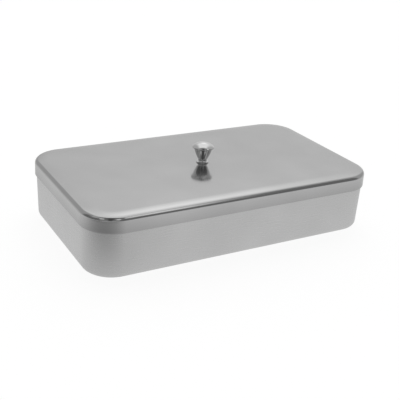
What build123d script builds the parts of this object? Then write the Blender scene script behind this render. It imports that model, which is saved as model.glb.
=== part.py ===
from build123d import *
import os
from math import cos, radians, sin, sqrt, tan

# Instrument box: a tray drawn from stainless sheet, a lid that lifts off it, and a
# turned knob that a screw holds to the lid from inside.
# Millimetres. +Z is up, X runs along the box, and the origin is the middle of the
# tray's underside, on the surface that the tray stands on.

# Tray, outside sizes at the rim
tray_length = 210.0
tray_width = 121.0
tray_height = 40.0
tray_sheet = 0.7
tray_corner_radius = 20.5
tray_bottom_radius = 4.0
wall_draft = 1.1  # degrees that each wall leans in towards the bottom
rim_rounding = 0.2  # the trimmed edge is ground smooth

# Lid
lid_sheet = 0.6
lid_clearance = 0.3  # from the tray's rim to the inside of the skirt, on each side
lid_seat_clearance = 0.05  # from the tray's rim to the bend that it bears on
lid_edge_radius = 3.0  # outside of the bend from the top into the skirt
lid_roll_width = 6.0  # the flat top rolls off this wide, before a short slope and the bend
lid_roll_angle = 8.0  # degrees that the slope falls towards the bend
lid_slope_length = 0.4
skirt_depth = 11.0
skirt_rounding = 0.15

# Knob, whose heights stack up from the lid
knob_diameter = 15.0
knob_foot_diameter = 8.4
knob_foot_height = 0.9
knob_foot_rounding = 0.2
knob_waist_diameter = 6.0
knob_neck_height = 1.2  # from the foot up to the waist
knob_waist_rounding = 0.6
knob_body_height = 8.1
knob_body_swell = 0.4  # how far the body's side stands out from a straight cone
knob_body_rounding = 0.6
knob_lip_overhang = 1.2  # beyond the body, on each side
knob_flare_height = 0.7  # from the body out to the lip
knob_lip_height = 0.6
knob_lip_rounding = 0.2
knob_dome_height = 3.0

# Thread that the screw and the knob's blind hole share
thread_diameter = 3.0
thread_clearance = 0.03
thread_hole_spare = 1.0  # depth of hole past the end of the screw
drill_point_half_angle = 59.0

# Pan head screw
screw_length = 8.0  # under the head
screw_head_diameter = 5.6
screw_head_height = 2.4
screw_head_crown = 0.9  # part of the head's height that is domed
screw_end_chamfer = 0.4
recess_span = 3.0
recess_wing = 0.8
recess_depth = 1.4
recess_taper = 8.0

# Washers, and the hole that the screw passes through in the lid
washer_diameter = 7.0
washer_thickness = 0.5
washer_edge_rounding = 0.1
spring_washer_diameter = 6.2
spring_washer_thickness = 0.8
spring_washer_split = 0.35
spring_washer_split_lean = 20.0
screw_passage_clearance = 0.1  # around the thread in the washers
lid_hole_clearance = 0.2  # around the thread in the lid

# Plan of the lid: the tray's rim, moved out by the clearance and the lid's own sheet
skirt_offset = lid_clearance + lid_sheet
lid_length = tray_length + 2 * skirt_offset
lid_width = tray_width + 2 * skirt_offset
lid_corner_radius = tray_corner_radius + skirt_offset

# The lid's edge is a chamfer whose upper corner has the wide radius of the roll and
# whose lower corner has the radius of the bend. Its length is what the two roundings
# take from it, with the short slope left between them.
roll_angle = radians(lid_roll_angle)
roll_radius = lid_roll_width / sin(roll_angle)
bend_tangent = lid_edge_radius * tan((radians(90) - roll_angle) / 2)
chamfer_length = roll_radius * tan(roll_angle / 2) + lid_slope_length + bend_tangent
chamfer_inwards = chamfer_length * cos(roll_angle)
chamfer_downwards = chamfer_length * sin(roll_angle)

# The rim's rounded edge bears on the inside of the lid's bend. In section these are a
# small circle inside a large one, so the height of the lid follows from how far apart
# their centres lie, along the line between them and across the box.
bend_inside_radius = lid_edge_radius - lid_sheet
centres_along = bend_inside_radius - rim_rounding - lid_seat_clearance
centres_across = bend_inside_radius - rim_rounding - lid_clearance
centres_up = sqrt(centres_along**2 - centres_across**2)
bend_z = tray_height - rim_rounding - centres_up
lid_top_z = bend_z + bend_tangent + chamfer_downwards
lid_inside_z = lid_top_z - lid_sheet
skirt_bottom_z = lid_top_z - skirt_depth

# The screw's stack, downwards from the inside of the lid
washer_z = lid_inside_z - washer_thickness
spring_washer_z = washer_z - spring_washer_thickness
screw_head_z = spring_washer_z - screw_head_height
screw_tip_z = spring_washer_z + screw_length
passage_radius = thread_diameter / 2 + screw_passage_clearance

# Tray: a rounded rectangle that widens to the rim, hollowed to the sheet's thickness
draft_offset = tray_height * tan(radians(wall_draft))
with BuildPart() as tray:
    with BuildSketch(Plane.XY):
        RectangleRounded(
            tray_length - 2 * draft_offset,
            tray_width - 2 * draft_offset,
            tray_corner_radius - draft_offset,
        )
    with BuildSketch(Plane.XY.offset(tray_height)):
        RectangleRounded(tray_length, tray_width, tray_corner_radius)
    loft(ruled=True)
    fillet(tray.edges().group_by(Axis.Z)[0], tray_bottom_radius)
    offset(amount=-tray_sheet, openings=tray.faces().sort_by(Axis.Z)[-1])
    fillet(tray.edges().group_by(Axis.Z)[-1], rim_rounding)

# Lid: a shallow cap that slides over the rim, with a hole for the knob's screw. Counted
# from below, the edges of the chamfered block are the foot, the corners' uprights, the
# chamfer's lower edge, its corners and its upper edge.
with BuildPart() as lid:
    with BuildSketch(Plane.XY.offset(skirt_bottom_z)):
        RectangleRounded(lid_length, lid_width, lid_corner_radius)
    extrude(amount=skirt_depth)
    lid_top = lid.faces().sort_by(Axis.Z)[-1]
    chamfer(lid_top.edges(), chamfer_inwards, chamfer_downwards, reference=lid_top)
    fillet(lid.edges().group_by(Axis.Z)[2], lid_edge_radius)
    fillet(lid.edges().group_by(Axis.Z)[-1], roll_radius)
    offset(amount=-lid_sheet, openings=lid.faces().sort_by(Axis.Z)[0])
    fillet(lid.edges().group_by(Axis.Z)[0], skirt_rounding)
    with Locations((0, 0, lid_top_z)):
        Hole(radius=thread_diameter / 2 + lid_hole_clearance)

# Knob: turned in one piece, with a foot, a waist, a swelling body and a domed head.
# Its half section is drawn with the height above the lid upwards.
knob_plane = Plane(origin=(0, 0, lid_top_z), x_dir=(1, 0, 0), z_dir=(0, -1, 0))
foot_corner = (knob_foot_diameter / 2, 0)
foot_edge = (knob_foot_diameter / 2, knob_foot_height)
waist = (knob_waist_diameter / 2, foot_edge[1] + knob_neck_height)
body_top = (knob_diameter / 2 - knob_lip_overhang, waist[1] + knob_body_height)
body_side = (
    (waist[0] + body_top[0]) / 2 + knob_body_swell,
    (waist[1] + body_top[1]) / 2,
)
lip_lower = (knob_diameter / 2, body_top[1] + knob_flare_height)
lip_upper = (knob_diameter / 2, lip_lower[1] + knob_lip_height)
summit = (0, lip_upper[1] + knob_dome_height)
hole_radius = thread_diameter / 2 + thread_clearance
hole_depth = screw_tip_z - lid_top_z + thread_hole_spare
drill_point = hole_radius / tan(radians(drill_point_half_angle))
with BuildPart() as knob:
    with BuildSketch(knob_plane) as knob_section:
        with BuildLine():
            Polyline((0, 0), foot_corner, foot_edge)
            TangentArc(waist, foot_edge, tangent=(0, -1))
            ThreePointArc(waist, body_side, body_top)
            Polyline(body_top, lip_lower, lip_upper)
            TangentArc(summit, lip_upper, tangent=(1, 0))
            Line(summit, (0, 0))
        make_face()
        roundings = (
            (foot_corner, knob_foot_rounding),
            (foot_edge, knob_foot_rounding),
            (waist, knob_waist_rounding),
            (body_top, knob_body_rounding),
            (lip_lower, knob_lip_rounding),
            (lip_upper, knob_lip_rounding),
        )
        for corner, rounding in roundings:
            fillet(knob_section.vertices().sort_by_distance(corner)[0], rounding)
    revolve(axis=Axis.Z)
    with BuildSketch(knob_plane):
        with BuildLine():
            Polyline(
                (0, 0),
                (hole_radius, 0),
                (hole_radius, hole_depth),
                (0, hole_depth + drill_point),
                close=True,
            )
        make_face()
    revolve(axis=Axis.Z, mode=Mode.SUBTRACT)

# Knob screw: pan head with a cross recess, driven upwards from inside the lid
head_radius = screw_head_diameter / 2
shank_radius = thread_diameter / 2
with BuildPart() as knob_screw:
    with BuildSketch(Plane.XZ):
        with BuildLine():
            crown_edge = (head_radius, screw_head_z + screw_head_crown)
            TangentArc((0, screw_head_z), crown_edge, tangent=(1, 0))
            Polyline(
                crown_edge,
                (head_radius, spring_washer_z),
                (shank_radius, spring_washer_z),
                (shank_radius, screw_tip_z - screw_end_chamfer),
                (shank_radius - screw_end_chamfer, screw_tip_z),
                (0, screw_tip_z),
                (0, screw_head_z),
            )
        make_face()
    revolve(axis=Axis.Z)
    with BuildSketch(Plane.XY.offset(screw_head_z)):
        Rectangle(recess_span, recess_wing)
        Rectangle(recess_wing, recess_span)
    extrude(amount=recess_depth, taper=recess_taper, mode=Mode.SUBTRACT)

# Flat washer: stamped ring against the inside of the lid
with BuildPart() as knob_flat_washer:
    with BuildSketch(Plane.XY.offset(washer_z)):
        Circle(washer_diameter / 2)
        Circle(passage_radius, mode=Mode.SUBTRACT)
    extrude(amount=washer_thickness)
    fillet(knob_flat_washer.edges().group_by(Axis.Z)[0], washer_edge_rounding)

# Spring washer: a ring pressed flat under the screw's head, split on its +X side by a
# leaning cut that is much longer than the ring is thick
with BuildPart() as knob_spring_washer:
    with BuildSketch(Plane.XY.offset(spring_washer_z)):
        Circle(spring_washer_diameter / 2)
        Circle(passage_radius, mode=Mode.SUBTRACT)
    extrude(amount=spring_washer_thickness)
    with BuildSketch(Plane.YZ):
        with Locations((0, spring_washer_z + spring_washer_thickness / 2)):
            Rectangle(
                spring_washer_split,
                spring_washer_diameter,
                rotation=spring_washer_split_lean,
            )
    extrude(amount=spring_washer_diameter, mode=Mode.SUBTRACT)

os.makedirs("parts", exist_ok=True)
pieces = {
    "tray": tray,
    "lid": lid,
    "knob": knob,
    "knob_screw": knob_screw,
    "knob_flat_washer": knob_flat_washer,
    "knob_spring_washer": knob_spring_washer,
}
for name, piece in pieces.items():
    piece.part.label = name
    export_step(piece.part, f"parts/{name}.step")
    print(name, "volume", round(piece.part.volume, 1), "mm3")
print("box height with the knob", round(lid_top_z + summit[1], 2), "mm")
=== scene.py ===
# %% [markdown]
# A stainless instrument box: a drawn tray, a drawn lid that lifts off it and a small
# turned knob, seen a little from above on a white table.
#
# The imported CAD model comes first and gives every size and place. It could be rendered
# as it is, but its curved faces are cut into flat facets, and polished steel shows each
# of them as a kink in its reflections. So every piece is worked out again here as a
# smooth surface that follows the same shape.

import bpy
import numpy as np
from mathutils import Matrix, Vector


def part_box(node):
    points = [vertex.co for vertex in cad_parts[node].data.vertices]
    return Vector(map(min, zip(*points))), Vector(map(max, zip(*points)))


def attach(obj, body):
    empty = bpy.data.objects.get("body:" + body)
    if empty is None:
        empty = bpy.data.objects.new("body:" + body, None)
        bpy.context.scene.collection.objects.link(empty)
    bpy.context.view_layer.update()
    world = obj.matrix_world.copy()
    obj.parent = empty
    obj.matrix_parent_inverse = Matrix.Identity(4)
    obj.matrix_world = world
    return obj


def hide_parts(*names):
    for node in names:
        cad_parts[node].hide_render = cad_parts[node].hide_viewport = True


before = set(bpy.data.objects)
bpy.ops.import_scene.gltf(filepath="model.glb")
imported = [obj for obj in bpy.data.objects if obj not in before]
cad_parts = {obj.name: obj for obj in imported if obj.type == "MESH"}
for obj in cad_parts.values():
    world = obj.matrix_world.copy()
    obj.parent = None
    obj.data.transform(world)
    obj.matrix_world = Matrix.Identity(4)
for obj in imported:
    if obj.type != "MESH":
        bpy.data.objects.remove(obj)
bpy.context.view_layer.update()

mm = 0.001

# %% [markdown]
# The camera stands about where the photographer stood. Its numbers come from a fitting
# program, which turned and moved a camera until the outlines of tray, lid and knob fell
# on their places in the picture. It could be aimed with a constraint, but a constraint is
# lost when the view is changed, so the turn is written as three axes: to the right,
# upwards and backwards. The horizon leans by a few degrees, so the first two are rolled
# about the third.

# %% Camera
camera_target = Vector((-33.08, -56.36, 42.18)) * mm
camera_distance = 462.66 * mm
camera_yaw, camera_pitch, camera_roll = np.radians([-30.48, 23.94, 3.69])
camera_lens, camera_sensor = 67.58, 36.0

back = Vector((
    np.sin(camera_yaw) * np.cos(camera_pitch),
    -np.cos(camera_yaw) * np.cos(camera_pitch),
    np.sin(camera_pitch),
))
level_right = (-back).cross(Vector((0, 0, 1))).normalized()
level_up = level_right.cross(-back)
right = np.cos(camera_roll) * level_right + np.sin(camera_roll) * level_up
up = -np.sin(camera_roll) * level_right + np.cos(camera_roll) * level_up

camera = bpy.data.objects.new("camera", bpy.data.cameras.new("camera"))
camera.data.lens = camera_lens
camera.data.sensor_width = camera_sensor
camera.data.clip_start = 0.01
camera.matrix_world = (
    Matrix.Translation(camera_target + camera_distance * back)
    @ Matrix((right, up, back)).transposed().to_4x4()
)
bpy.context.scene.collection.objects.link(camera)
bpy.context.scene.camera = camera
bpy.context.scene.view_settings.view_transform = "Standard"
print("camera", round(camera_distance / mm), "mm from its target, lens", camera_lens)

# %% [markdown]
# Every piece here is a grid. Its columns go once around and its rows follow a section,
# so one helper can turn any of them into a mesh. Rows of quads join neighbouring rows.
# Where a piece closes on an axis, its first and last rows are one point each, which a
# fan of triangles joins to the next row. Where the section is a closed line, as in a
# ring or in the lid with its hole, the last row joins the first instead.
#
# The order of the corners decides which way a face looks. With columns running
# anticlockwise as seen from above and the section drawn with the metal on its left, all
# faces look outwards. The volume that the faces enclose, printed for each piece, tells
# it: it should be positive, and that of the solid that the piece stands for.

# %% Grid to mesh
def enclosed_volume(mesh):
    """Volume inside a closed mesh: a sixth of the sum of the triple product over its triangles."""
    mesh.calc_loop_triangles()
    corners = np.empty(len(mesh.loop_triangles) * 3, np.int32)
    mesh.loop_triangles.foreach_get("vertices", corners)
    places = np.empty(len(mesh.vertices) * 3)
    mesh.vertices.foreach_get("co", places)
    a, b, c = places.reshape(-1, 3)[corners.reshape(-1, 3)].transpose(1, 0, 2)
    return float(np.sum(a * np.cross(b, c)) / 6)


def grid_piece(name, grid, body, material, closed_section=False):
    """A mesh from points in rows and columns, which replaces the node of the same name.

    The columns close on themselves. The rows close too if closed_section is set, and
    otherwise the first and last row are poles.
    """
    rows, columns = grid.shape[:2]
    if closed_section:
        points = grid.reshape(-1, 3)
        starts = np.arange(rows) * columns
        following = np.roll(starts, -1)
        fans = []
    else:
        points = np.concatenate([grid[0, :1], grid[1:-1].reshape(-1, 3), grid[-1, :1]])
        starts = 1 + np.arange(rows - 3) * columns
        following = starts + columns
        around = np.arange(columns)
        beside = np.roll(around, -1)
        last = len(points) - 1
        last_row = last - columns
        first_fan = np.stack([np.zeros_like(around), 1 + beside, 1 + around], 1)
        last_fan = np.stack([np.full_like(around, last), last_row + around, last_row + beside], 1)
        fans = np.concatenate([first_fan, last_fan]).tolist()
    here = np.arange(columns)
    there = np.roll(here, -1)
    quads = np.stack([
        starts[:, None] + here,
        starts[:, None] + there,
        following[:, None] + there,
        following[:, None] + here,
    ], -1).reshape(-1, 4)

    mesh = bpy.data.meshes.new(name)
    mesh.from_pydata(points.tolist(), [], quads.tolist() + fans)
    mesh.shade_smooth()
    mesh.materials.append(material)
    piece = bpy.data.objects.new(name, mesh)
    bpy.context.scene.collection.objects.link(piece)
    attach(piece, body)
    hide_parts(name)
    print(name, len(mesh.polygons), "faces,", round(enclosed_volume(mesh) / mm**3, 1), "mm3")
    return piece


# %% [markdown]
# A section is drawn with straight runs and arcs, as on a workshop drawing. Smooth
# shading averages the directions of the faces around each point, so a long flat face
# beside a narrow bend would be shaded as if it bulged. Each straight run therefore has a
# point close to either end, which keeps that bulge too narrow to see.

# %% Straight runs and arcs
def straight(start, end, steps=1, guard=0.12 * mm):
    """Points on the line from start to end, evenly spaced, with one more near each end."""
    start, end = np.array(start, float), np.array(end, float)
    near = min(guard / np.linalg.norm(end - start), 0.3)
    shares = np.unique(np.concatenate([np.linspace(0, 1, steps + 1), [near, 1 - near]]))
    return start + shares[:, None] * (end - start)


def arc(centre, radius, first_degrees, last_degrees, steps):
    """Points on a circle: the centre, plus the radius along the cosine and sine of each angle."""
    angles = np.radians(np.linspace(first_degrees, last_degrees, steps + 1))
    return np.array(centre) + radius * np.stack([np.cos(angles), np.sin(angles)], 1)


def joined(*runs):
    """The runs end to end, without the point that each shares with the run before it."""
    return np.concatenate([runs[0]] + [run[1:] for run in runs[1:]])


# %% [markdown]
# Seen from above, tray and lid are rectangles with round corners. Moving such an outline
# straight outwards by some distance gives another of the same family, with the same
# centres of its corners. So a point of the shell is the outline's point, plus its
# section's distance along the outline's outward direction, at its section's height.

# %% The plan of tray and lid
corner_steps = 24
side_points = 10


def plan(length, width, corner_radius):
    """Points and outward directions of a round-cornered rectangle, anticlockwise.

    In each corner the direction turns by a quarter, and the point is the corner's centre
    plus the radius along the direction. Along a side the direction stays, and the points
    run between two corners, closer together near both.
    """
    reach = np.array([length / 2 - corner_radius, width / 2 - corner_radius])
    signs = np.array([(1, 1), (-1, 1), (-1, -1), (1, -1)])
    share = (1 - np.cos(np.pi * np.arange(1, side_points + 1) / (side_points + 1)))[:, None] / 2
    points, directions = [], []
    for quarter in range(4):
        angles = np.radians(90) * (quarter + np.arange(corner_steps + 1) / corner_steps)
        outwards = np.stack([np.cos(angles), np.sin(angles)], 1)
        corner = signs[quarter] * reach + corner_radius * outwards
        following = signs[(quarter + 1) % 4] * reach + corner_radius * outwards[-1]
        points += [corner, corner[-1] + share * (following - corner[-1])]
        directions += [outwards, np.repeat(outwards[-1:], side_points, 0)]
    return np.concatenate(points), np.concatenate(directions)


def shell(outline, directions, section):
    """Rows of points: the outline moved out by the section's first value, at its second."""
    flat = outline[None] + section[:, :1, None] * directions[None]
    heights = np.broadcast_to(section[:, 1:, None], flat.shape[:2] + (1,))
    return np.concatenate([flat, heights], -1)


def panel(ring, end, shares):
    """Rows of points between a ring and an end, which may be one point: their mixture by share."""
    return ring + np.array(shares)[:, None, None] * (np.array(end) - ring)


# %% [markdown]
# Steel has no colour of its own to speak of: what shows is what it reflects. Three things
# on its surface change that reflection. The grinding belt leaves fine parallel lines, the
# press leaves broad shallow waves, and use leaves a few thin scratches. The lines run
# along the sheet on flat faces and around the walls, so they could follow a UV map, but
# the map would have to be cut between panel and wall. A noise that is stretched in the
# object's own directions needs no map: on a face that looks up it is stretched along X,
# and on a wall along both X and Y, which runs around the wall whichever way it faces.
#
# All three are node groups, because the tray, the lid, the knob and the fasteners share
# them with other values. They put out heights and masks only, and each material decides
# what to do with them.

# %% Helpers for node trees
def add_node(tree, kind, sockets=None, **settings):
    """A node with its settings, whose sockets get a value or a link from another node."""
    node = tree.nodes.new(kind)
    for name, value in settings.items():
        setattr(node, name, value)
    for name, value in (sockets or {}).items():
        socket = node.inputs[name]
        if isinstance(value, bpy.types.NodeSocket):
            tree.links.new(value, socket)
        else:
            socket.default_value = value
    return node


def math_node(tree, operation, first, second=0.0):
    """The result of a calculation with two values."""
    return add_node(tree, "ShaderNodeMath", {0: first, 1: second}, operation=operation).outputs[0]


def new_group(name, inputs, outputs):
    """An empty shader group with named number inputs, each with its default, and outputs."""
    group = bpy.data.node_groups.new(name, "ShaderNodeTree")
    for label, value in inputs.items():
        socket = group.interface.new_socket(label, in_out="INPUT", socket_type="NodeSocketFloat")
        socket.default_value = value
    for label in outputs:
        group.interface.new_socket(label, in_out="OUTPUT", socket_type="NodeSocketFloat")
    start = group.nodes.new("NodeGroupInput")
    end = group.nodes.new("NodeGroupOutput")
    return group, start.outputs, end.inputs


# %% The ground lines
def ground_lines_group():
    """Fine lines along the sheet.

    One noise is stretched along X and one around the walls, and which of them shows
    depends on where the face looks.
    """
    group, given, result = new_group("ground_lines", {"Lines per mm": 6.0, "Length mm": 8.0}, ["Height"])
    place = add_node(group, "ShaderNodeTexCoord").outputs["Object"]
    facing = add_node(group, "ShaderNodeTexCoord").outputs["Normal"]
    parts = add_node(group, "ShaderNodeSeparateXYZ", {0: facing}).outputs
    upwards = math_node(group, "ABSOLUTE", parts["Z"])
    across = math_node(group, "DIVIDE", given["Lines per mm"], mm)
    along = math_node(group, "DIVIDE", 1 / mm, given["Length mm"])
    layers = []
    for stretch in ({"X": along, "Y": across, "Z": along}, {"X": along, "Y": along, "Z": across}):
        scale = add_node(group, "ShaderNodeCombineXYZ", stretch).outputs[0]
        stretched = add_node(group, "ShaderNodeVectorMath", {0: place, 1: scale}, operation="MULTIPLY")
        noise = add_node(group, "ShaderNodeTexNoise", {
            "Vector": stretched.outputs[0], "Scale": 1.0, "Detail": 2.0,
        })
        layers.append(noise.outputs[0])
    panel_range = {"Value": upwards, "From Min": 0.6, "From Max": 0.8}
    panel_share = add_node(group, "ShaderNodeMapRange", panel_range).outputs[0]
    mixed = add_node(group, "ShaderNodeMix", {"Factor": panel_share, "A": layers[1], "B": layers[0]})
    group.links.new(mixed.outputs[0], result["Height"])
    return group


# %% [markdown]
# The waves of the press are a single soft noise. A scratch could be a drawn curve, but
# curves need places. Instead a slow noise is read like a map: the line where it crosses
# its middle value wanders over the sheet as a scratch does, and a second noise keeps it
# in a few patches only.

# %% The waves of the press and the scratches of use
def press_waves_group():
    """Broad shallow waves: a soft noise of the given width."""
    group, given, result = new_group("press_waves", {"Width mm": 30.0}, ["Height"])
    place = add_node(group, "ShaderNodeTexCoord").outputs["Object"]
    scale = math_node(group, "DIVIDE", 1 / mm, given["Width mm"])
    waves = add_node(group, "ShaderNodeTexNoise", {"Vector": place, "Scale": scale, "Detail": 1.0})
    group.links.new(waves.outputs[0], result["Height"])
    return group


def scratches_group():
    """Thin lines where a slow noise crosses its middle value, kept where another noise is high."""
    group, given, result = new_group("scratches", {"Apart mm": 12.0, "Thinness": 60.0}, ["Mask"])
    place = add_node(group, "ShaderNodeTexCoord").outputs["Object"]
    scale = math_node(group, "DIVIDE", 1 / mm, given["Apart mm"])
    course = add_node(group, "ShaderNodeTexNoise", {"Vector": place, "Scale": scale, "Detail": 0.0})
    distance = math_node(group, "ABSOLUTE", math_node(group, "SUBTRACT", course.outputs[0], 0.5))
    line = math_node(group, "SUBTRACT", 1.0, math_node(group, "MULTIPLY", distance, given["Thinness"]))
    patch_scale = math_node(group, "MULTIPLY", scale, 1.7)
    patches = add_node(group, "ShaderNodeTexNoise", {"Vector": place, "Scale": patch_scale}).outputs[0]
    patch_range = {"Value": patches, "From Min": 0.52, "From Max": 0.66}
    kept = add_node(group, "ShaderNodeMapRange", patch_range).outputs[0]
    mask = math_node(group, "MULTIPLY", math_node(group, "MAXIMUM", line, 0.0), kept)
    group.links.new(mask, result["Mask"])
    return group


effects = {
    "ground_lines": ground_lines_group(),
    "press_waves": press_waves_group(),
    "scratches": scratches_group(),
}
print("effects", sorted(effects))

# %% [markdown]
# One function makes all four finishes, as one grade of steel does. The tray is satin, the
# lid has been polished over the same lines, the knob is turned and buffed to a mirror,
# and the screw and washers are plain bought parts. They differ in roughness, in how deep
# the lines are and in how far the sheet waves.
#
# The skirt's grey is painted with shade: darker towards its foot, where it meets the tray,
# and lighter near its top. How much was chosen from trial renders. That painted shade
# could be put on with a UV map, but all that it depends on is the height of a point on
# the lid, and Object coordinates give it. They ride along when the lid is lifted. The
# other greys and roughnesses come from the fit that the Studio cell tells of.

# %% Steel
def use(tree, name, values=None):
    """The shared effect as a node in this material, with its own values."""
    node = add_node(tree, "ShaderNodeGroup", node_tree=effects[name])
    for label, value in (values or {}).items():
        node.inputs[label].default_value = value
    return node.outputs[0]


wave_spread, line_spread = 0.03, 0.15
# The painted shade on the skirt: the heights it runs between, and its share of the grey, darker at the
# foot and lighter at the top.
skirt_painted_shade = {"From Min": 31.2 * mm, "From Max": 39.4 * mm, "To Min": 0.92, "To Max": 1.12}


def map_range(tree, value, limits):
    """The value carried from one range to another, with its ends held."""
    return add_node(tree, "ShaderNodeMapRange", {"Value": value, **limits}).outputs[0]


def paint_skirt_shade(tree, grey):
    """Painted shade: the grey times a share that rises with the height up the skirt, from darker at its
    foot to lighter near its top, and stays 1 above it.
    """
    place = add_node(tree, "ShaderNodeTexCoord").outputs["Object"]
    height = add_node(tree, "ShaderNodeSeparateXYZ", {0: place}).outputs["Z"]
    share = map_range(tree, height, skirt_painted_shade)
    on_skirt = math_node(tree, "LESS_THAN", height, skirt_painted_shade["From Max"])
    share = add_node(tree, "ShaderNodeMix", {"Factor": on_skirt, "A": 1.0, "B": share}).outputs[0]
    return math_node(tree, "MULTIPLY", grey, share)


def steel(
    name, reflectance, roughness, lines_per_mm, line_depth, wave_depth, scratch_share, skirt=False
):
    """A metal whose grey is its reflectance, and whose roughness and slope follow the effects."""
    material = bpy.data.materials.new(name)
    material.use_nodes = True
    tree = material.node_tree
    shader = tree.nodes["Principled BSDF"]
    shader.inputs["Metallic"].default_value = 1.0
    lines = use(tree, "ground_lines", {"Lines per mm": lines_per_mm})
    waves = use(tree, "press_waves")
    scratches = use(tree, "scratches")

    grey = map_range(tree, waves, {
        "From Min": 0.3, "From Max": 0.7,
        "To Min": reflectance * (1 - wave_spread), "To Max": reflectance * (1 + wave_spread),
    })
    # On the lid the grey gets painted shade, darker towards the skirt's foot and lighter near its top.
    if skirt:
        grey = paint_skirt_shade(tree, grey)
    colour = add_node(tree, "ShaderNodeCombineColor", {0: grey, 1: grey, 2: grey}).outputs[0]
    tree.links.new(colour, shader.inputs["Base Color"])

    lined = map_range(tree, lines, {
        "From Min": 0.25, "From Max": 0.75,
        "To Min": roughness * (1 - line_spread), "To Max": roughness * (1 + line_spread),
    })
    worn = math_node(tree, "ADD", lined, math_node(tree, "MULTIPLY", scratches, scratch_share))
    tree.links.new(worn, shader.inputs["Roughness"])

    broad = add_node(tree, "ShaderNodeBump", {"Height": waves, "Strength": 1.0, "Distance": wave_depth})
    fine = add_node(tree, "ShaderNodeBump", {
        "Height": lines, "Strength": 1.0, "Distance": line_depth, "Normal": broad.outputs[0],
    })
    tree.links.new(fine.outputs[0], shader.inputs["Normal"])
    print("finish", name, "reflectance", reflectance, "roughness", roughness)
    return material


tray_steel = steel(
    "tray_steel", reflectance=0.65, roughness=0.29, lines_per_mm=5.0,
    line_depth=0.0012 * mm, wave_depth=0.02 * mm, scratch_share=0.03,
)
lid_steel = steel(
    "lid_steel", reflectance=0.53, roughness=0.13, lines_per_mm=7.0,
    line_depth=0.0006 * mm, wave_depth=0.03 * mm, scratch_share=0.04, skirt=True,
)
knob_steel = steel(
    "knob_steel", reflectance=0.68, roughness=0.06, lines_per_mm=9.0,
    line_depth=0.0003 * mm, wave_depth=0.0, scratch_share=0.02,
)
fastener_steel = steel(
    "fastener_steel", reflectance=0.58, roughness=0.24, lines_per_mm=8.0,
    line_depth=0.0010 * mm, wave_depth=0.0, scratch_share=0.03,
)

# %% [markdown]
# The tray is pressed from one sheet: a flat bottom, a bend all round it and a wall that
# leans outwards a little, so that the punch comes out again. The trimmed edge is ground
# round so that it doesn't cut. One section drawn once around the metal, out along the
# underside, up the wall, over the rim and back inside, makes it a closed piece with a
# true thickness. A Solidify modifier would give the thickness too, but not the round
# rim.

# %% Tray
tray_sheet = 0.7 * mm
tray_corner_radius = 20.5 * mm
tray_bend_radius = 4.0 * mm
rim_radius = 0.2 * mm
wall_lean_degrees = 1.1
tray_bend_steps, wall_steps, rim_steps = 14, 6, 6
bottom_shares = np.array([0.02, 0.15, 0.4, 0.7, 0.95])

tray_low, tray_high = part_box("tray")
tray_length, tray_width = tray_high.x - tray_low.x, tray_high.y - tray_low.y
tray_height = tray_high.z
lean = np.radians(wall_lean_degrees)


def wall_point(inset, height):
    """A point at this height on the wall's outer face, moved inwards square to it by the inset."""
    return np.array([-(tray_height - height) * np.tan(lean) - inset / np.cos(lean), height])


def bend_centre(inset, radius, floor_height):
    """Centre of a bend that touches the floor and the wall's face at this inset."""
    return wall_point(inset, floor_height + radius) - np.array([radius / np.cos(lean), 0])


outer_centre = bend_centre(0, tray_bend_radius, 0)
inner_radius = tray_bend_radius - tray_sheet
inner_centre = bend_centre(tray_sheet, inner_radius, tray_sheet)
outer_rim = wall_point(rim_radius, tray_height - rim_radius)
inner_rim = wall_point(tray_sheet - rim_radius, tray_height - rim_radius)
outer_bend = arc(outer_centre, tray_bend_radius, -90, -wall_lean_degrees, tray_bend_steps)
inner_bend = arc(inner_centre, inner_radius, -wall_lean_degrees, -90, tray_bend_steps)
outer_round = arc(outer_rim, rim_radius, -wall_lean_degrees, 90, rim_steps)
inner_round = arc(inner_rim, rim_radius, 90, 180 - wall_lean_degrees, rim_steps)
tray_section = joined(
    outer_bend,
    straight(outer_bend[-1], outer_round[0], wall_steps),
    outer_round,
    straight(outer_round[-1], inner_round[0]),
    inner_round,
    straight(inner_round[-1], inner_bend[0], wall_steps),
    inner_bend,
)
tray_outline, tray_directions = plan(tray_length, tray_width, tray_corner_radius)
tray_wall = shell(tray_outline, tray_directions, tray_section)
under_middle, floor_middle = (0, 0, 0), (0, 0, tray_sheet)
tray_grid = np.concatenate([
    panel(tray_wall[0], under_middle, [1.0]),
    panel(tray_wall[0], under_middle, bottom_shares[::-1]),
    tray_wall,
    panel(tray_wall[-1], floor_middle, bottom_shares),
    panel(tray_wall[-1], floor_middle, [1.0]),
])
tray = grid_piece("tray", tray_grid, "tray", tray_steel)

# %% [markdown]
# The lid is pressed in the same way, but shallower. Its top is flat, then rolls off gently
# before the tight bend into the skirt. That roll is what draws the bright line along the
# edge: each step of it looks a little further up towards the lamps. In the picture the
# skirt darkens downwards as if it leaned out, so its outside flares by a tenth of a
# millimetre towards its foot, while its inside stands straight over the tray's rim. That
# leaves the sheet thinner at the bend, which drawing may do to a real lid too, but it is
# a guess. The hole for the knob's screw makes the lid a ring, so its section is a closed
# line that also goes down through the hole.

# %% Lid
lid_sheet = 0.6 * mm
lid_corner_radius = 21.4 * mm
lid_bend_radius = 3.0 * mm
lid_roll_width = 6.0 * mm
lid_roll_degrees = 8.0
lid_slope_length = 0.4 * mm
skirt_foot_radius = 0.15 * mm
skirt_flare = 0.12 * mm
lid_hole_radius = 1.7 * mm
lid_bend_steps, roll_steps, skirt_steps, foot_steps = 16, 14, 8, 5
inside_steps = 3
top_shares = np.array([0.004, 0.03, 0.12, 0.3, 0.5, 0.7, 0.85, 0.95, 0.99])

lid_low, lid_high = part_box("lid")
lid_length, lid_width = lid_high.x - lid_low.x, lid_high.y - lid_low.y
lid_top, lid_foot = lid_high.z, lid_low.z
roll = np.radians(lid_roll_degrees)
roll_radius = lid_roll_width / np.sin(roll)


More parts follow.
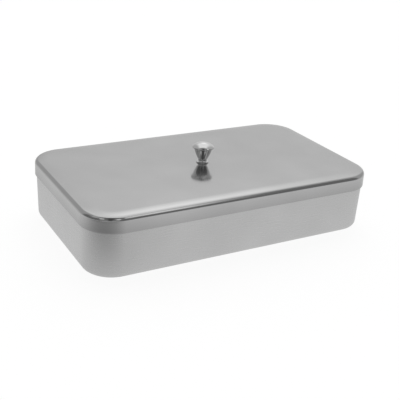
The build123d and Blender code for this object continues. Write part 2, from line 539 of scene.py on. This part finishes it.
def lid_side(inset, top, flare):
    """Bend, slope and roll of the face at this inset, from the skirt upwards and inwards.

    The bend touches the skirt's face, the slope leaves it at the roll's angle, and the
    roll is an arc about a centre far below, which ends level at the top.
    """
    bend_radius, wide_radius = lid_bend_radius - inset, roll_radius - inset
    slope_fall = lid_slope_length * np.sin(roll)
    roll_fall = roll_radius * (1 - np.cos(roll))
    bend_z = lid_top - roll_fall - slope_fall - lid_bend_radius * np.cos(roll)
    centre = (-lid_bend_radius - flare, bend_z)
    bend = arc(centre, bend_radius, 0, 90 - lid_roll_degrees, lid_bend_steps)
    slope_end = bend[-1] + lid_slope_length * np.array([-np.cos(roll), np.sin(roll)])
    roll_centre = (slope_end[0] - wide_radius * np.sin(roll), top - wide_radius)
    rolled = arc(roll_centre, wide_radius, 90 - lid_roll_degrees, 90, roll_steps)
    return joined(bend, straight(bend[-1], slope_end), rolled)


def flared(start, end, steps):
    """A parabola from start up to end, which leans most at the start and ends upright."""
    share = np.linspace(0, 1, steps + 1)
    across = start[0] + (end[0] - start[0]) * share * (2 - share)
    return np.stack([across, start[1] + (end[1] - start[1]) * share], 1)


outside = lid_side(0, lid_top, skirt_flare)
inside = lid_side(lid_sheet, lid_top - lid_sheet, 0)[::-1]
foot_z = lid_foot + skirt_foot_radius
outer_foot = arc((-skirt_foot_radius, foot_z), skirt_foot_radius, -90, 0, foot_steps)
inner_foot = arc((skirt_foot_radius - lid_sheet, foot_z), skirt_foot_radius, 180, 270, foot_steps)
lid_outer = joined(outer_foot, flared(outer_foot[-1], outside[0], skirt_steps), outside)
lid_inner = joined(inside, straight(inside[-1], inner_foot[0], inside_steps), inner_foot)
lid_outline, lid_directions = plan(lid_length, lid_width, lid_corner_radius)
outer_rows = shell(lid_outline, lid_directions, lid_outer)
inner_rows = shell(lid_outline, lid_directions, lid_inner)


def hole_ring(ring, height):
    """The edge of the hole, with each point in the direction of the ring's point."""
    flat = ring[:, :2] / np.linalg.norm(ring[:, :2], axis=1, keepdims=True) * lid_hole_radius
    return np.concatenate([flat, np.full((len(flat), 1), height)], 1)


top_edge = hole_ring(outer_rows[-1], lid_top)
under_edge = hole_ring(outer_rows[-1], lid_top - lid_sheet)
lid_grid = np.concatenate([
    outer_rows,
    panel(outer_rows[-1], top_edge, top_shares),
    top_edge[None],
    under_edge[None],
    panel(inner_rows[0], under_edge, top_shares[::-1]),
    inner_rows,
])
lid = grid_piece("lid", lid_grid, "lid", lid_steel, closed_section=True)

# %% [markdown]
# A turned piece is one profile spun about its axis, on the lathe and here. A Screw
# modifier could spin it, but then the sharp corners of the drawing would stay sharp.
# Instead they are eased first, by averaging the profile over a short length, much as a
# polishing wheel takes them off.

# %% Turned pieces
turned_columns = 96
ease_step = 0.08 * mm


def even(profile):
    """The same line with evenly spaced points, found by interpolating along its length."""
    lengths = np.concatenate([[0], np.cumsum(np.linalg.norm(np.diff(profile, axis=0), axis=1))])
    places = np.linspace(0, lengths[-1], int(lengths[-1] / ease_step) + 1)
    return np.stack([np.interp(places, lengths, profile[:, axis]) for axis in (0, 1)], 1)


def eased(profile, width):
    """The profile with each point replaced by the mean of its neighbours within half the width."""
    half = max(int(width / ease_step / 2), 1)
    line = even(np.asarray(profile))
    padded = np.pad(line, ((half, half), (0, 0)), mode="reflect", reflect_type="odd")
    weights = np.full(2 * half + 1, 1 / (2 * half + 1))
    return np.stack([np.convolve(padded[:, axis], weights, "valid") for axis in (0, 1)], 1)


def spun(profile, columns=turned_columns):
    """Rows of points: each radius times the cosine and sine of the column's angle, at its height."""
    angles = np.radians(360) * np.arange(columns) / columns
    radii, heights = profile[:, :1], profile[:, 1:]
    level = np.broadcast_to(heights, (len(profile), columns))
    return np.stack([radii * np.cos(angles), radii * np.sin(angles), level], -1)


def circle_through(first, middle, last, steps):
    """The arc through three points, whose centre is as far from one as from the others."""
    first, middle, last = (np.array(point, float) for point in (first, middle, last))
    rows = 2 * np.array([middle - first, last - first])
    sides = np.array([middle @ middle - first @ first, last @ last - first @ first])
    centre = np.linalg.solve(rows, sides)
    radius = np.linalg.norm(first - centre)
    start, end = (np.degrees(np.arctan2(*(point - centre)[::-1])) for point in (first, last))
    return arc(centre, radius, start, start + (end - start + 180) % 360 - 180, steps)


# %% [markdown]
# The knob is turned from bar: a small foot, a waist to grip under, a body that widens
# upwards and a lip with a domed head. Its profile could be a list of points, but every
# run of it is a line or an arc that a lathe hand would call by its size, so it is built
# from those. The blind hole in the foot and the screw in it are plain cylinders with the
# thread's clearance between them, because nobody sees the thread once the knob is on.

# %% Knob
thread_radius = 1.5 * mm
thread_gap = 0.03 * mm
foot_radius, foot_height = 4.2 * mm, 0.9 * mm
cove_radius = 1.2 * mm
waist_radius = foot_radius - cove_radius
body_radius, body_height = 6.3 * mm, 8.1 * mm
body_swell = 0.4 * mm
lip_radius, lip_height, flare_height = 7.5 * mm, 0.6 * mm, 0.7 * mm
knob_ease = 0.45 * mm
hole_spare = 1.0 * mm
drill_point_degrees = 59.0
cove_steps, body_steps, dome_steps = 12, 24, 24

knob_low, knob_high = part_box("knob")
screw_low, screw_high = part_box("knob_screw")
knob_foot, knob_summit = knob_low.z, knob_high.z
waist_z = knob_foot + foot_height + cove_radius
body_z = waist_z + body_height
lip_z = body_z + flare_height
dome_z = lip_z + lip_height
dome_height = knob_summit - dome_z
dome_radius = (lip_radius**2 + dome_height**2) / (2 * dome_height)
dome_degrees = np.degrees(np.arcsin(lip_radius / dome_radius))
knob_hole_radius = thread_radius + thread_gap
hole_end_z = screw_high.z + hole_spare
swell_point = ((waist_radius + body_radius) / 2 + body_swell, waist_z + body_height / 2)

knob_outside = joined(
    straight((foot_radius, knob_foot), (foot_radius, knob_foot + foot_height)),
    arc((foot_radius, waist_z), cove_radius, 270, 180, cove_steps),
    circle_through((waist_radius, waist_z), swell_point, (body_radius, body_z), body_steps),
    straight((body_radius, body_z), (lip_radius, lip_z)),
    straight((lip_radius, lip_z), (lip_radius, dome_z)),
    arc((0, knob_summit - dome_radius), dome_radius, 90 - dome_degrees, 90, dome_steps),
)
knob_hole = np.array([
    (0, hole_end_z + knob_hole_radius / np.tan(np.radians(drill_point_degrees))),
    (knob_hole_radius, hole_end_z),
    (knob_hole_radius, knob_foot),
])
knob_under = straight((knob_hole_radius, knob_foot), (foot_radius, knob_foot))
knob_profile = np.concatenate([knob_hole[:-1], eased(joined(knob_under, knob_outside), knob_ease)])
knob = grid_piece("knob", spun(knob_profile), "lid", knob_steel)

# %% [markdown]
# The screw, its two washers and the hole in the lid are only seen with the lid in the
# hand. They are still made whole, because the pieces are kept one by one. The screw has
# a pan head with a cross in it for the driver, which could be cut with a Boolean. But
# seen from the middle the cross is a star, so its outline can be written as a distance
# for each direction, and the rings go up the cross's walls, out over the head and along
# the shank as one clean grid.

# %% Screw
screw_head_radius = 2.8 * mm
screw_crown = 0.9 * mm
screw_chamfer = 0.4 * mm
cross_reach, cross_half_width = 1.5 * mm, 0.4 * mm
cross_depth, cross_taper = 1.4 * mm, 0.2 * mm
arm_points, gap_points, crown_steps = 4, 6, 7
screw_ease = 0.16 * mm

washer_low, washer_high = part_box("knob_flat_washer")
spring_low, spring_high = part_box("knob_spring_washer")
head_z, seat_z, tip_z = screw_low.z, spring_low.z, screw_high.z
arm_angle = np.arctan(cross_half_width / cross_reach)
octant = np.concatenate([
    np.linspace(0, arm_angle, arm_points),
    np.linspace(arm_angle, np.radians(45), gap_points)[1:],
])
quadrant = np.concatenate([octant, np.radians(90) - octant[-2:0:-1]])
screw_angles = (quadrant + np.radians(90) * np.arange(4)[:, None]).ravel()


def cross_distance(shrink):
    """How far the cross reaches in each direction, with all its sides moved in by shrink."""
    folded = np.abs((screw_angles + np.radians(45)) % np.radians(90) - np.radians(45))
    reach, half_width = cross_reach - shrink, cross_half_width - shrink
    side = np.where(folded > 0, half_width / np.sin(np.maximum(folded, 1e-6)), np.inf)
    return np.minimum(reach / np.cos(folded), side)


def screw_row(radius, height):
    """A ring at this height whose radius may differ for each direction."""
    heights = np.broadcast_to(height, screw_angles.shape)
    return np.stack([radius * np.cos(screw_angles), radius * np.sin(screw_angles), heights], -1)


crown_radius = (screw_head_radius**2 + screw_crown**2) / (2 * screw_crown)


def crown_height(radius):
    """Height of the domed head's face at this distance from the axis."""
    return head_z + crown_radius - np.sqrt(crown_radius**2 - radius**2)


cross_rim = cross_distance(0)
cross_foot = cross_distance(cross_taper)
recess_z = head_z + cross_depth
head_rows = [screw_row(cross_foot * share, recess_z) for share in (0, 0.5, 1)]
head_rows.append(screw_row(cross_rim, crown_height(cross_rim)))
for share in np.linspace(0, 1, crown_steps + 1)[1:]:
    ring_radius = cross_rim + share * (screw_head_radius - cross_rim)
    head_rows.append(screw_row(ring_radius, crown_height(ring_radius)))
shank_profile = eased(joined(
    straight((screw_head_radius, head_z + screw_crown), (screw_head_radius, seat_z)),
    straight((screw_head_radius, seat_z), (thread_radius, seat_z)),
    straight((thread_radius, seat_z), (thread_radius, tip_z - screw_chamfer)),
    straight((thread_radius, tip_z - screw_chamfer), (thread_radius - screw_chamfer, tip_z)),
    straight((thread_radius - screw_chamfer, tip_z), (0, tip_z)),
), screw_ease)
shank_rows = [screw_row(radius, height) for radius, height in shank_profile[1:]]
screw = grid_piece("knob_screw", np.stack(head_rows + shank_rows), "lid", fastener_steel)

# %% [markdown]
# The flat washer spreads the screw's pull over the thin sheet, and the spring washer
# keeps it tight. Both are rings whose section is a small rectangle with round corners.
# The spring washer is split by a leaning cut. A Boolean could make the cut, but here the
# rings of points simply start and end on its two faces.

# %% Washers
washer_radius, washer_edge = 3.5 * mm, 0.1 * mm
spring_radius, spring_edge = 3.1 * mm, 0.06 * mm
passage_radius = 1.6 * mm
split_width, split_lean = 0.35 * mm, np.radians(20)
spring_columns = 72
edge_steps = 4


def ring_section(inner, outer, low, high, edge):
    """A rectangle with round corners as a closed section: its sides joined by quarter circles."""
    return np.concatenate([
        arc((outer - edge, low + edge), edge, -90, 0, edge_steps),
        arc((outer - edge, high - edge), edge, 0, 90, edge_steps),
        arc((inner + edge, high - edge), edge, 90, 180, edge_steps),
        arc((inner + edge, low + edge), edge, 180, 270, edge_steps),
    ])


flat_section = ring_section(passage_radius, washer_radius, washer_low.z, washer_high.z, washer_edge)
flat_washer = grid_piece(
    "knob_flat_washer", spun(flat_section), "lid", fastener_steel, closed_section=True
)

spring_section = ring_section(passage_radius, spring_radius, spring_low.z, spring_high.z, spring_edge)
spring_middle = (spring_low.z + spring_high.z) / 2
half_split = split_width / 2 / np.cos(split_lean)
# The split is a flat cut, so the angle that it takes away grows towards the middle, and
# the cut leans, so it starts further round at the top than at the bottom.
section_radius, section_z = spring_section[:, 0], spring_section[:, 1]
shift = (section_z - spring_middle) * np.tan(split_lean)
first_angle = np.arcsin((half_split - shift) / section_radius)
last_angle = np.radians(360) - np.arcsin((half_split + shift) / section_radius)
turn = np.linspace(0, 1, spring_columns)[:, None]
angles = first_angle + turn * (last_angle - first_angle)
spring_heights = np.broadcast_to(section_z, angles.shape)
spring_rings = np.stack([
    section_radius * np.cos(angles), section_radius * np.sin(angles), spring_heights,
], -1)
caps = spring_rings[[0, -1]].mean(1)
spring_grid = np.concatenate([
    np.broadcast_to(caps[0], (1,) + spring_rings.shape[1:]),
    spring_rings,
    np.broadcast_to(caps[1], (1,) + spring_rings.shape[1:]),
])[:, ::-1]
spring_washer = grid_piece("knob_spring_washer", spring_grid, "lid", fastener_steel)

# %% [markdown]
# Table and studio are laid out as the camera sees them: over the table towards the
# camera, and to its right. Both fade smoothly from one brightness to the next, which a
# ColorRamp could do too, but its stops can't be given by name and in millimetres as the
# limits of a Map Range node can.

# %% Directions as the camera sees them
towards_camera = Vector((back.x, back.y, 0)).normalized()
beside_camera = Vector((-towards_camera.y, towards_camera.x, 0))


def vector_node(tree, operation, first, second=(0, 0, 0)):
    """The node that does a calculation with two vectors."""
    return add_node(tree, "ShaderNodeVectorMath", {0: first, 1: second}, operation=operation)


def ramp(tree, value, start, end, first=0.0, last=1.0):
    """A smooth change from first to last while the value goes from start to end."""
    return add_node(tree, "ShaderNodeMapRange", {
        "Value": value, "From Min": start, "From Max": end, "To Min": first, "To Max": last,
    }, interpolation_type="SMOOTHSTEP").outputs[0]


def mix_node(tree, share, without, full):
    """A number between two others, by its share of the second."""
    return add_node(tree, "ShaderNodeMix", {"Factor": share, "A": without, "B": full}).outputs[0]


def mix_shaders(tree, share, without, full):
    """A surface between two others, by its share of the second."""
    return add_node(tree, "ShaderNodeMixShader", {0: share, 1: without.outputs[0], 2: full.outputs[0]})


# %% [markdown]
# The box stands on a white table. Its picture is white all over apart from a faint
# shadow, so the table shines by itself for the camera, and a pale matt surface mixed
# into it keeps the shadow. What the walls of the box mirror is the same table, but seen
# from low down and with its light painted on: even and pale, painted a little brighter
# close to the box as a pool of light, and painted dark in front of the camera, where
# nothing lights it. That painted shade gives the near corner its upright band. Its place
# and the levels come from the fit that the Studio cell tells of. From below the table
# is clear, so that the underside of the box can be looked at.

# %% Table
table_size = 8.0
table_drop = 0.02 * mm
table_white, table_grey = 1.26, 0.8
table_matt_share = 0.3
box_core = Vector((85, 40, 0)) * mm
core_margin = 20 * mm
table_far, table_glow, glow_reach = 0.65, 0.06, 85 * mm
dark_place = (335 * towards_camera - 115 * beside_camera) * mm
dark_start, dark_full, dark_level = 280 * mm, 135 * mm, 0.25


def table_material():
    """White for the camera, by distance from the box for reflections, and clear from below."""
    material = bpy.data.materials.new("table")
    material.use_nodes = True
    tree = material.node_tree
    tree.nodes.clear()
    place = add_node(tree, "ShaderNodeTexCoord").outputs["Object"]

    # Painted light for reflections: a pool of light near the box, and painted shade in front of the
    # camera.
    beyond = vector_node(tree, "ABSOLUTE", place).outputs[0]
    beyond = vector_node(tree, "SUBTRACT", beyond, box_core).outputs[0]
    beyond = vector_node(tree, "MAXIMUM", beyond, Vector((0, 0, 0))).outputs[0]
    core_distance = vector_node(tree, "LENGTH", beyond).outputs["Value"]
    reach = math_node(tree, "DIVIDE", math_node(tree, "SUBTRACT", core_margin, core_distance), glow_reach)
    glow = math_node(tree, "EXPONENT", math_node(tree, "MINIMUM", reach, 0.0))
    level = math_node(tree, "ADD", table_far, math_node(tree, "MULTIPLY", glow, table_glow))
    apart = vector_node(tree, "DISTANCE", place, dark_place).outputs["Value"]
    level = mix_node(tree, ramp(tree, apart, dark_start, dark_full), level, dark_level)

    rays = add_node(tree, "ShaderNodeLightPath").outputs
    white = add_node(tree, "ShaderNodeEmission", {"Color": (1, 1, 1, 1), "Strength": table_white})
    matt = add_node(tree, "ShaderNodeBsdfDiffuse", {"Color": (table_grey, table_grey, table_grey, 1)})
    shadowed = mix_shaders(tree, table_matt_share, white, matt)
    dimmed = add_node(tree, "ShaderNodeEmission", {"Color": (1, 1, 1, 1), "Strength": level})
    mirrored = mix_shaders(tree, rays["Is Diffuse Ray"], dimmed, matt)
    seen = math_node(tree, "MAXIMUM", rays["Is Camera Ray"], rays["Is Transmission Ray"])
    above = mix_shaders(tree, seen, mirrored, shadowed)
    clear = add_node(tree, "ShaderNodeBsdfTransparent")
    below = add_node(tree, "ShaderNodeNewGeometry").outputs["Backfacing"]
    whole = mix_shaders(tree, below, above, clear)
    add_node(tree, "ShaderNodeOutputMaterial", {"Surface": whole.outputs[0]})
    return material


table_corners = np.array([(-1, -1, 0), (1, -1, 0), (1, 1, 0), (-1, 1, 0)]) * table_size / 2
table_mesh = bpy.data.meshes.new("table")
table_mesh.from_pydata(table_corners.tolist(), [], [(0, 1, 2, 3)])
table_mesh.materials.append(table_material())
table = bpy.data.objects.new("table", table_mesh)
table.location.z = -table_drop
bpy.context.scene.collection.objects.link(table)
print("table", table_size, "m wide")

# %% [markdown]
# Polished steel is a picture of its room, so the room is set up as in a product studio:
# pale walls, a window and a wide soft ceiling lamp behind the box, a soft lamp high on
# either side of the camera and a smaller one low on either side, a dim wall behind the
# camera, and the dark upright shape of the camera itself. Area lamps could stand for all
# this, but they would need many samples to look smooth in polished metal. Painted into
# the world by direction they are smooth at once. Each lamp is a rectangle in two
# measures: how far a direction leans towards the camera, and how far to the camera's
# right. Both are 0 straight up and 1 at the horizon, and a lamp can be turned about the
# upright axis. A later lamp covers the ones before it.
#
# The real room is unknown. A program outside this lesson fitted the lamps, the table that
# the box mirrors and the greys and roughnesses of the steels to the greys of the picture,
# by least squares, and the numbers are its result, rounded. Only the two low lamps, the
# front wall and the reach of the camera's shape were chosen from trial renders.

# %% Studio
room_level = 0.20
# Each lamp: its turn in degrees, towards the camera from and to, to its right from and
# to, soft edge, level.
lamps = {
    "side_walls": (0, -1.5, -0.09, -1.5, 1.5, 0.18, 0.49),
    "back_wall": (0, -1.5, -0.39, -0.29, 0.52, 0.24, 0.72),
    "ceiling": (0, -0.82, -0.01, -0.42, 0.38, 0.26, 0.99),
    "back_window": (0, -0.86, -0.72, -0.11, 0.17, 0.20, 1.34),
    "left_lamp": (0, 0.00, 0.40, -0.71, -0.41, 0.28, 0.60),
    "right_lamp": (29, 0.19, 0.65, 0.35, 0.49, 0.12, 1.05),
    "left_low_lamp": (0, 0.42, 0.70, -0.46, -0.26, 0.10, 0.90),
    "right_low_lamp": (0, 0.45, 0.75, 0.28, 0.48, 0.10, 0.90),
    "front_wall": (0, 0.86, 1.5, -1.5, 1.5, 0.10, 0.35),
    "camera": (0, 0.08, 0.95, -0.09, 0.14, 0.04, 0.09),
}


def build_studio():
    """The world: white where the camera looks, and the lamps for everything else."""
    world = bpy.data.worlds.new("studio")
    world.use_nodes = True
    bpy.context.scene.world = world
    tree = world.node_tree
    tree.nodes.clear()
    looking = add_node(tree, "ShaderNodeTexCoord").outputs["Generated"]
    level = room_level
    for degrees, near, far, left_end, right_end, edge, brightness in lamps.values():
        turned = Matrix.Rotation(np.radians(degrees), 3, "Z")
        half = edge / 2
        patch = 1.0
        for axis, start, end in ((towards_camera, near, far), (beside_camera, left_end, right_end)):
            leaning = vector_node(tree, "DOT_PRODUCT", looking, turned @ axis).outputs["Value"]
            rising = ramp(tree, leaning, start - half, start + half)
            falling = ramp(tree, leaning, end + half, end - half)
            patch = math_node(tree, "MULTIPLY", patch, math_node(tree, "MULTIPLY", rising, falling))
        level = mix_node(tree, patch, level, brightness)
    rays = add_node(tree, "ShaderNodeLightPath").outputs
    seen = math_node(tree, "MAXIMUM", rays["Is Camera Ray"], rays["Is Transmission Ray"])
    shown = mix_node(tree, seen, level, 1.0)
    background = add_node(tree, "ShaderNodeBackground", {"Color": (1, 1, 1, 1), "Strength": shown})
    add_node(tree, "ShaderNodeOutputWorld", {"Surface": background.outputs[0]})


build_studio()
print("lamps", sorted(lamps))
